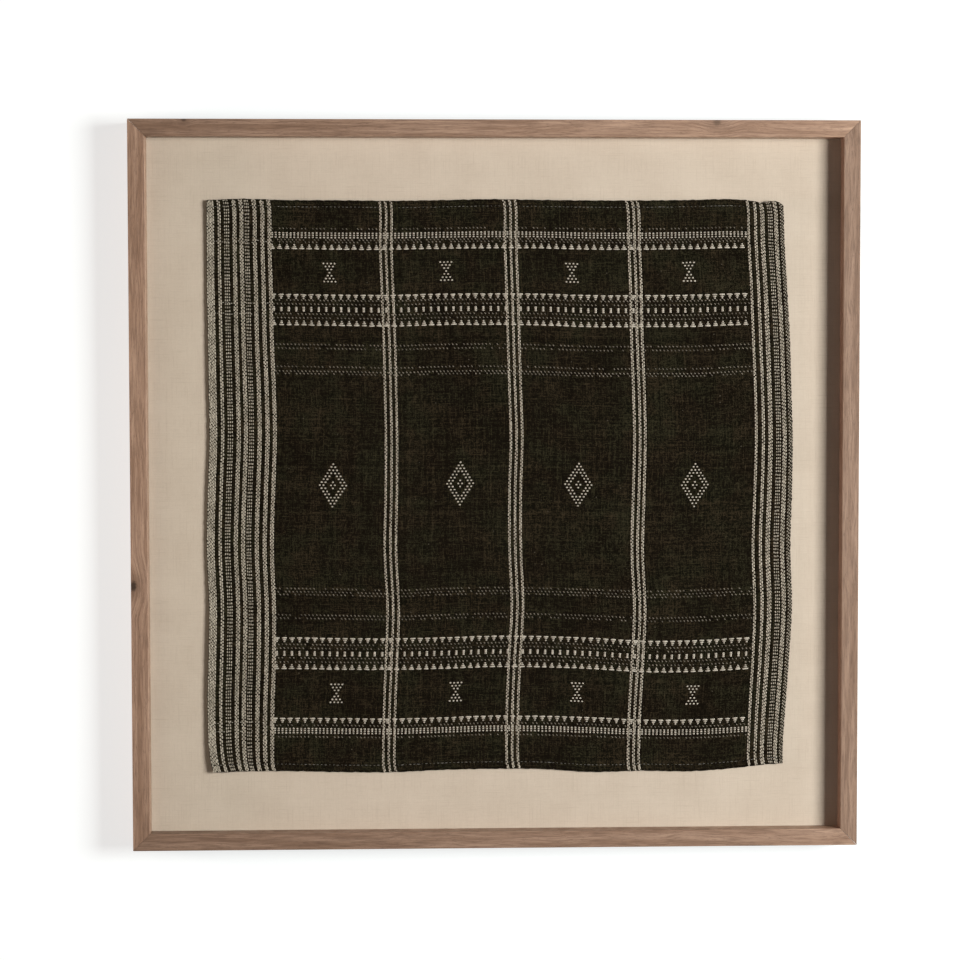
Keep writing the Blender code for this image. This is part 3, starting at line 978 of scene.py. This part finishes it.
def unit_grain():
    """Points (along, side, rise) of one grain with half-length 1, its triangles and its map.

    A ring at place t along the axis has girth g, and its point at angle a is (t, g cos a, g sin a).
    """
    turns = (np.arange(GRAIN_SIDES) + 0.5) / GRAIN_SIDES
    rings = [np.stack([np.full(GRAIN_SIDES, t), g * np.cos(2 * pi * turns), g * np.sin(2 * pi * turns)], 1)
             for t, g in GRAIN_RINGS]
    points = np.concatenate([[[-1, 0, 0]], *rings, [[1, 0, 0]]])
    first = 1 + GRAIN_SIDES * np.arange(len(GRAIN_RINGS))[:, None] + np.arange(GRAIN_SIDES)
    after = np.roll(first, -1, axis=1)
    a, b, c, d = first[:-1], after[:-1], after[1:], first[1:]
    walls = [np.stack(corners, -1).reshape(-1, 3) for corners in ((a, b, c), (a, c, d))]
    tip = np.full(GRAIN_SIDES, len(points) - 1)
    ends = [np.stack([tip * 0, after[0], first[0]], 1), np.stack([tip, first[-1], after[-1]], 1)]
    around = np.concatenate([[0.25], np.tile(turns, len(GRAIN_RINGS)), [0.25]])
    return points, np.concatenate(walls + ends), np.stack([points[:, 0] / 2, around], 1)


GRAIN_POINTS, GRAIN_FACES, GRAIN_MAP = unit_grain()
print("One grain has", len(GRAIN_POINTS), "points and", len(GRAIN_FACES), "triangles")

# %% Lay grains on the cloth
HAND = np.random.default_rng(11)
GRAIN_RISE = 0.00055
GRAIN_DIP = 0.00030
FLOAT_TRIM = 0.0004
# How uneven a hand lays them: shares of length, width and rise, a turn in radians, a place in metres
# and a tone
UNEVEN_LENGTH, UNEVEN_WIDTH, UNEVEN_RISE = 0.06, 0.05, 0.10
UNEVEN_TURN, UNEVEN_PLACE, UNEVEN_TONE = 0.04, 0.00010, 0.16


def lay_floats(name, floats, material):
    """Joined grains on the cloth from rows of (across, up, length, width, turn, tone), all in metres.

    Length runs along the yarn, which is turned from level by turn. Hand-made unevenness is added, and
    a float that would pass the top or bottom edge of the cloth is cut short there.
    """
    rows = np.concatenate(floats)
    across, up, length, width, turn, tone = (column[:, None] for column in rows.T)
    count = len(rows)
    uneven = HAND.normal(size=(5, count, 1))
    along = GRAIN_POINTS[:, 0] * length / 2 * (1 + UNEVEN_LENGTH * uneven[0])
    side = GRAIN_POINTS[:, 1] * width / 2 * (1 + UNEVEN_WIDTH * uneven[1])
    turn = turn + UNEVEN_TURN * uneven[2]
    dip = GRAIN_DIP * GRAIN_POINTS[:, 0] ** 2
    placed_across = across + along * np.cos(turn) - side * np.sin(turn)
    placed_up = up + along * np.sin(turn) + side * np.cos(turn) + UNEVEN_PLACE * uneven[4]
    placed_up = np.clip(placed_up, FLOAT_TRIM - CLOTH_HEIGHT / 2, CLOTH_HEIGHT / 2 - FLOAT_TRIM)
    rise = GRAIN_POINTS[:, 2] * GRAIN_RISE * (1 + UNEVEN_RISE * uneven[3])
    out = BODY + hem_relief(placed_up) + rise - dip
    points = hang(placed_across.ravel(), placed_up.ravel(), out.ravel())
    faces = (GRAIN_FACES + len(GRAIN_POINTS) * np.arange(count)[:, None, None]).reshape(-1, 3)
    maps = (GRAIN_MAP + HAND.random((count, 1, 2))).reshape(-1, 2)
    tones = np.clip(tone[:, 0] + UNEVEN_TONE * HAND.normal(size=count), 0, 1)
    tones = np.repeat(tones, len(GRAIN_POINTS))
    piece = new_piece(name, points, faces, material, {"yarn": maps}, tones)
    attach(piece, "root")
    print(f"{name}: {count} floats, {len(faces)} triangles")
    return piece


def float_rows(across, up, length, width, turn, tone):
    """Rows for lay_floats; any value may be an array, and lengths are given in millimetres."""
    columns = np.broadcast_arrays(*(np.asarray(v, float) for v in (across, up, length, width, turn, tone)))
    rows = np.stack([column.ravel() for column in columns], 1)
    rows[:, :4] *= MM
    return rows


print("Floats rise by", round(GRAIN_RISE / MM, 2), "mm")

# %% [markdown]
# ## Cream warp stripes
# The stripes are cream warp ends. Each shows as a chain of floats, one every 4.6 mm, with the dark
# weft between them. In a braided stripe the neighbouring chains are half a step apart, in a twill
# stripe a quarter, so slanting lines appear, and in a ladder they are level, with dark rungs between.
# At the selvedges they are about a third of a step apart. A table lists each stripe by its left side,
# and a loop turns it into floats.

# %% Lay the warp stripes
WARP_STEP = 4.6
UPRIGHT = radians(90)
# Each kind: how many steps the next chain is shifted, the float's share of a step and of the
# column's width, its slant and its tone
KINDS = {
    "pale": (0.37, 0.99, 1.14, 0.14, 0.42),
    "braid": (0.5, 0.90, 1.06, 0.0, 0.35),
    "twill": (0.25, 0.88, 1.04, 0.25, 0.35),
    "back twill": (-0.25, 0.88, 1.04, -0.25, 0.35),
    "ladder": (0.0, 0.66, 0.76, 0.0, 0.55),
    "tweed": (-0.33, 0.62, 0.95, -0.45, 0.85),
}
# Each stripe: its left side in millimetres, how many chains wide, the chains' pitch and its kind
LEFT_STRIPES = (
    (-403.7, 5, 2.10, "pale"),
    (-388.2, 2, 2.40, "braid"),
    (-379.4, 3, 2.75, "ladder"),
    (-366.9, 3, 1.92, "braid"),
    (-357.0, 3, 1.92, "braid"),
    (-349.8, 3, 2.40, "ladder"),
    (-338.1, 3, 1.92, "braid"),
    (-327.3, 3, 1.92, "braid"),
    (-317.1, 3, 1.82, "braid"),
)
# Each triple: the pitch of its chains and where its three stripes have their middles
TRIPLES = ((1.68, (-159.3, -151.5, -143.8)), (1.82, (14.2, 22.1, 29.9)), (1.95, (186.0, 193.8, 201.0)))
MIDDLE_STRIPES = tuple((middle - pitch, 2, pitch, "braid")
                       for pitch, middles in TRIPLES for middle in middles)
RIGHT_STRIPES = (
    (353.2, 2, 1.85, "braid"),
    (362.5, 2, 2.15, "braid"),
    (371.2, 3, 1.95, "twill"),
    (381.4, 3, 2.35, "ladder"),
    (390.2, 3, 1.80, "back twill"),
    (398.3, 3, 1.85, "tweed"),
)
# Unevenness within a stripe: across it and along it in millimetres, and in tone
JITTER_ACROSS, JITTER_UP, JITTER_TONE = 0.12, 0.18, 0.16


def stripe_floats(stripes):
    """For each chain of each stripe, one float every step from the bottom edge to the top edge.

    The weaver's beat varies, so two slow waves crowd and spread the floats along a stripe.
    """
    rows = []
    half = CLOTH_HEIGHT / MM / 2
    for left, chains, pitch, kind in stripes:
        shift, long_share, wide_share, slant, tone = KINDS[kind]
        start = HAND.random() * WARP_STEP
        for chain in range(chains):
            up = np.arange(-half, half + WARP_STEP, WARP_STEP) + start + shift * chain * WARP_STEP
            up = (up + half) % (2 * half) - half
            up = up + 0.5 * np.sin(up / 9.0 + left) + 0.25 * np.sin(up / 3.7 + 2 * left)
            across = left + pitch * (chain + 0.5) + JITTER_ACROSS * HAND.normal(size=len(up))
            up = up + JITTER_UP * HAND.normal(size=len(up))
            patchy = tone + JITTER_TONE * (np.sin(up / 14.0 + left) + HAND.normal(size=len(up)))
            rows.append(float_rows(across, up, long_share * WARP_STEP, wide_share * pitch,
                                   UPRIGHT + slant, patchy))
    return rows


left_border = lay_floats("warp_floats_left", stripe_floats(LEFT_STRIPES), CREAM_YARN)
triple_stripes = lay_floats("warp_floats_middle", stripe_floats(MIDDLE_STRIPES), CREAM_YARN)
right_border = lay_floats("warp_floats_right", stripe_floats(RIGHT_STRIPES), CREAM_YARN)

# %% [markdown]
# ## Brocade
# The white figures are laid in by hand with a thicker yarn while the cloth is on the loom: a level
# float over three ends, or over more for the wider rows of a triangle. A triangle is three floats,
# one above the other; a tall dash is three short ones. Diamonds and hourglasses are charts of dots
# that are each half a step off the row above.

# %% Rows of dashes and triangles
STEP = 5.2075
BAND_LEFT = -300.2
BAND_RIGHT = 352.0
BAND_START = BAND_LEFT - 2 * STEP
# Each kind of float: its length and its height
DASH = (3.2, 2.5)
TALL_DASH = (3.9, 2.7)
DOT = (3.1, 2.4)
# A triangle's courses from its base: their lengths and tones, and then their height and distance
COURSES = ((8.7, 0.20), (5.4, 0.42), (2.9, 0.50))
COURSE_TALL = 2.5
COURSE_STEP = 2.5
TALL_STEP = 2.25


def band_places(step):
    """Places across the cloth, one each step, from the last left stripe to the right border."""
    return np.arange(BAND_START, BAND_RIGHT, step)


def dash_rows(levels):
    """Level rows of short dashes, one each step."""
    return [float_rows(band_places(STEP), level, *DASH, 0.0, 0.37) for level in levels]


def triangle_row(base, point):
    """A row of triangles: three floats each, the widest at the base; point is 1 for up, -1 for down."""
    across = band_places(2 * STEP)
    return [float_rows(across, base + point * COURSE_STEP * n, length, COURSE_TALL, 0.0, tone)
            for n, (length, tone) in enumerate(COURSES)]


def tall_dashes(centre):
    """A row of tall dashes: three short floats over each other, every other step."""
    return [float_rows(band_places(2 * STEP), centre + TALL_STEP * n, *TALL_DASH, 0.0, 0.35)
            for n in (-1, 0, 1)]


print("Dashes in a row across the cloth:", len(band_places(STEP)))

# %% Charts of diamonds and hourglasses
DIAMOND_TOP = ((0,), (-0.5, 0.5), (-1, 0, 1), (-1.5, -0.5, 0.5, 1.5), (-2, -1, 1, 2),
               (-2.5, -1.5, 1.5, 2.5), (-3, -2, 0, 2, 3), (-3.5, -2.5, -0.5, 0.5, 2.5, 3.5))
DIAMOND = DIAMOND_TOP + DIAMOND_TOP[-2::-1]
HOURGLASS_TOP = ((-1.5, -0.5, 0.5, 1.5), (-1, 0, 1), (-0.5, 0.5), (0,))
HOURGLASS = HOURGLASS_TOP + HOURGLASS_TOP[-2::-1]
FIGURE_ROW = 4.25
FIGURE_STEP = 5.2
# Where each figure's middle lies, across and up, in millimetres
DIAMOND_PLACES = ((-232.5, -0.3), (-55.2, 1.7), (109.5, 1.7), (272.0, 2.0))
HOURGLASS_PLACES = ((-231.5, 298.5), (-68.7, 299.2), (105.5, 297.8), (269.0, 299.2),
                    (-226.5, -293.2), (-59.2, -292.5), (111.8, -293.5), (273.8, -292.7))


def charted(chart, places):
    """Dots of a chart, row by row from the top, around each of the places."""
    rows = []
    for middle_across, middle_up in places:
        for number, row in enumerate(chart):
            up = middle_up + FIGURE_ROW * ((len(chart) - 1) / 2 - number)
            across = middle_across + FIGURE_STEP * np.array(row, float)
            rows.append(float_rows(across, up, *DOT, 0.0, 0.05))
    return rows


print("Dots in a diamond and an hourglass:", sum(map(len, DIAMOND)), sum(map(len, HOURGLASS)))

# %% Lay the white brocade
GLINT_PLACES = np.arange(-401.0, -319.0, 3.9)
GLINT_SHARE = 0.55
GLINT = (2.6, 1.2)
TURN_PLACE = -398.6
TURN_BELOW = 3.0
TURN = (9.0, 1.2)
TURN_SLANT = radians(14)


def border_glints(levels):
    """Where a brocade yarn runs on into the left border, short thin floats of it show here and there.

    Where it turns back at the selvedge, one long float slants over the outermost stripe.
    """
    rows = []
    for level in levels:
        across = GLINT_PLACES[HAND.random(len(GLINT_PLACES)) < GLINT_SHARE]
        tone = 0.55 + 0.2 * HAND.normal(size=len(across))
        up = level + 0.6 * HAND.normal(size=len(across))
        rows.append(float_rows(across, up, *GLINT, 0.0, tone))
        rows.append(float_rows(TURN_PLACE, level - TURN_BELOW, *TURN, TURN_SLANT, 0.15))
    return rows


TRIANGLES = ((331.8, 1), (266.6, -1), (224.2, 1), (-215.5, -1), (-258.5, 1), (-328.8, -1))
white = dash_rows((353.8, 350.9, 347.6, -342.6, -345.3, -348.3))
for base, point in TRIANGLES:
    white += triangle_row(base, point)
white += tall_dashes(246.2) + tall_dashes(-237.1)
white += charted(DIAMOND, DIAMOND_PLACES) + charted(HOURGLASS, HOURGLASS_PLACES)
white += border_glints((340.5, 254.0, 239.0, -334.0, -346.0))
brocade = lay_floats("brocade_floats", white, WHITE_YARN)

# %% [markdown]
# ## The faint rows
# Between the bright figures run rows of a dim grey yarn: small slanting dots, thin and missing here
# and there. A random draw drops some, and the tone varies along the row.

# %% Lay the faint rows
FAINT_DOT = (3.2, 1.6)
FAINT_SLANT = radians(-48)
# Each row: its level in millimetres, the share of its dots that show and how dim they are
FAINT_ROWS = (
    (360.0, 0.75, 0.75), (344.3, 0.90, 0.55), (341.0, 0.85, 0.60),
    (259.0, 0.95, 0.40), (253.6, 0.95, 0.45), (239.6, 0.95, 0.50), (234.0, 0.95, 0.45),
    (196.4, 0.90, 0.60), (191.0, 0.85, 0.65), (165.3, 0.85, 0.60), (158.8, 1.00, 0.10), (155.3, 0.80, 0.50),
    (-145.8, 0.80, 0.65), (-150.4, 0.90, 0.60), (-154.4, 0.80, 0.65),
    (-183.0, 0.90, 0.55), (-187.6, 0.75, 0.65),
    (-224.6, 0.95, 0.50), (-229.8, 0.90, 0.50), (-243.4, 0.95, 0.50), (-249.0, 0.90, 0.50),
    (-338.0, 0.80, 0.60), (-353.6, 0.90, 0.50),
)


def faint_row(number, level, showing, tone):
    """Slanting dots one step apart; every other row starts half a step on."""
    across = band_places(STEP) + (number % 2) * STEP / 2
    across = across[HAND.random(len(across)) < showing]
    patchy = tone + 0.25 * np.sin(across / 21.0 + number) + 0.1 * HAND.normal(size=len(across))
    return float_rows(across, level, *FAINT_DOT, FAINT_SLANT, patchy)


faint = [faint_row(number, *row) for number, row in enumerate(FAINT_ROWS)]
dim_rows = lay_floats("faint_floats", faint, GREY_YARN)

# %% [markdown]
# ## The hem stitches
# A thin grey thread holds the turned hems down: long back stitches along the whole width, each of
# which starts inside the one before.

# %% Stitch the hems
STITCH_STEP = 5.6
STITCH = (1.3 * STITCH_STEP, 0.8)
hem_line = CLOTH_HEIGHT / MM / 2 - HEM_DEPTH / MM
stitch_places = np.arange(-396.0, 397.0, STITCH_STEP)
stitches = [float_rows(stitch_places, side * hem_line, *STITCH, 0.0, 0.35) for side in (1, -1)]
hem_stitches = lay_floats("hem_stitches", stitches, HEM_THREAD)

# %% [markdown]
# ## Wall, floor and light
# A white wall right behind the frame catches its soft shadow, and a pale floor lies below the view.
# Neither belongs to the object.
#
# The key is one big soft lamp, well to the right and in front. Its slant draws the weave, lays the
# right rail's shadow on the linen and the frame's own shadow on the wall. The lamp is feathered:
# it is aimed past the far side of the frame, so the near side does not get much more light than the
# far one. Two weak warm lamps on the left stand for light that comes back from the room: the far one
# grazes the front and warms the inner side of the right rail, and the near one softens the shadows.
#
# Both stage surfaces are clear from behind, so a camera behind the wall sees the object's back, and
# a lamp behind the wall lights only that.

# %% The wall and the floor
WALL_HALF = 3.0
WALL_GAP = 0.001
FLOOR_BELOW = 1.15
FLOOR_REACH = 5.0
WALL_PAINT = (0.405, 0.445, 0.45, 1.0)
WALL_GLOW = 0.66
FLOOR_PAINT = (0.13, 0.13, 0.13, 1.0)
FLOOR_GLOW = 0.72
UNSEEN_GLOW = 0.03
PAINT_SHADE = (0.70, 0.70, 0.70, 1.0)
UNSEEN_PAINT = (0.10, 0.10, 0.10, 1.0)


def stage_material(name, colour, glow, unseen_glow):
    """Pale paint with some glow of its own; its back is clear.

    The camera sees the paint; to other light it is dark, so no bounce from the floor fills the
    shadows. The glow, too, is one value for the camera and another for all other light.
    """
    material, tree, shader = start_material(name, roughness=0.9, specular=0.1)
    grain = noise(tree, add(tree, "TexCoord").outputs["Object"], 3.0)
    paint = blend_colours(tree, calc(tree, "MULTIPLY", grain, 0.05), colour, PAINT_SHADE)
    seen = add(tree, "LightPath").outputs["Is Camera Ray"]
    feed(tree, shader.inputs["Base Color"], blend_colours(tree, seen, UNSEEN_PAINT, paint))
    shader.inputs["Emission Color"].default_value = (1.0, 1.0, 1.0, 1.0)
    strength = calc(tree, "MULTIPLY_ADD", seen, glow - unseen_glow, unseen_glow)
    feed(tree, shader.inputs["Emission Strength"], strength)
    clear = add(tree, "BsdfTransparent").outputs[0]
    behind = add(tree, "NewGeometry").outputs["Backfacing"]
    mix = add(tree, "MixShader", {0: behind, 1: shader.outputs[0], 2: clear})
    feed(tree, tree.nodes["Material Output"].inputs["Surface"], mix.outputs[0])
    return material


def stage_plane(name, first, second, material):
    """One flat quad that belongs to the stage, between two level lines given by their (y, z)."""
    corners = [(-WALL_HALF, *first), (WALL_HALF, *first), (WALL_HALF, *second), (-WALL_HALF, *second)]
    plane = new_piece(name, np.array(corners, float), np.array([[0, 1, 2, 3]]), material)
    return plane


wall_low, wall_high = CENTRE[2] - FLOOR_BELOW, CENTRE[2] + WALL_HALF
stage_plane("wall", (WALL_GAP, wall_low), (WALL_GAP, wall_high),
            stage_material("wall_paint", WALL_PAINT, WALL_GLOW, WALL_GLOW))
stage_plane("floor", (-FLOOR_REACH, wall_low), (WALL_GAP, wall_low),
            stage_material("floor_paint", FLOOR_PAINT, FLOOR_GLOW, UNSEEN_GLOW))
print("Wall and floor meet at Z =", round(wall_low, 3))

# %% Lamps and the pale world
KEY_POWER = 241.0
FILL_POWER = 27.0
WARM_POWER = 2.85
BACK_POWER = 60.0
WORLD_FILL = 0.012
WORLD_SEEN = 0.95
# Each lamp: its place, the point that it faces, its side in metres, its power and its colour
LAMPS = {
    "key_light": ((3.04, -2.70, -0.20), (-3.5, 0.0, -0.50), 1.50, KEY_POWER, (1.0, 0.985, 0.96)),
    "warm_reflector": ((-1.25, -0.75, -0.50), (-0.3, 0.0, -0.50), 0.80, WARM_POWER, (1.0, 0.86, 0.70)),
    "grazing_light": ((-2.60, -0.32, -0.45), (0.5, -0.04, -0.50), 0.30, FILL_POWER, (1.0, 0.70, 0.66)),
    "back_light": ((1.20, 2.60, 0.60), (0.0, 0.0, -0.50), 1.50, BACK_POWER, (1.0, 1.0, 1.0)),
}


def soft_lamp(name, place, aim, size, power, colour):
    """A square area lamp that faces a point."""
    data = bpy.data.lights.new(name, "AREA")
    data.size = size
    data.energy = power
    data.color = colour
    lamp = bpy.data.objects.new(name, data)
    lamp.location = place
    lamp.rotation_euler = (Vector(aim) - Vector(place)).to_track_quat("-Z", "Y").to_euler()
    bpy.context.scene.collection.objects.link(lamp)


def pale_world():
    """The camera sees it pale; as a light it is weak, so that the shadows stay deep."""
    world = bpy.data.worlds.new("pale_room")
    bpy.context.scene.world = world
    world.use_nodes = True
    tree = world.node_tree
    seen = add(tree, "LightPath").outputs["Is Camera Ray"]
    strength = calc(tree, "MULTIPLY_ADD", seen, WORLD_SEEN - WORLD_FILL, WORLD_FILL)
    feed(tree, tree.nodes["Background"].inputs["Color"], (1.0, 1.0, 1.0, 1.0))
    feed(tree, tree.nodes["Background"].inputs["Strength"], strength)


for name, settings in LAMPS.items():
    soft_lamp(name, *settings)
pale_world()
bpy.context.scene.view_settings.view_transform = "Standard"
print("Lamps:", ", ".join(LAMPS))
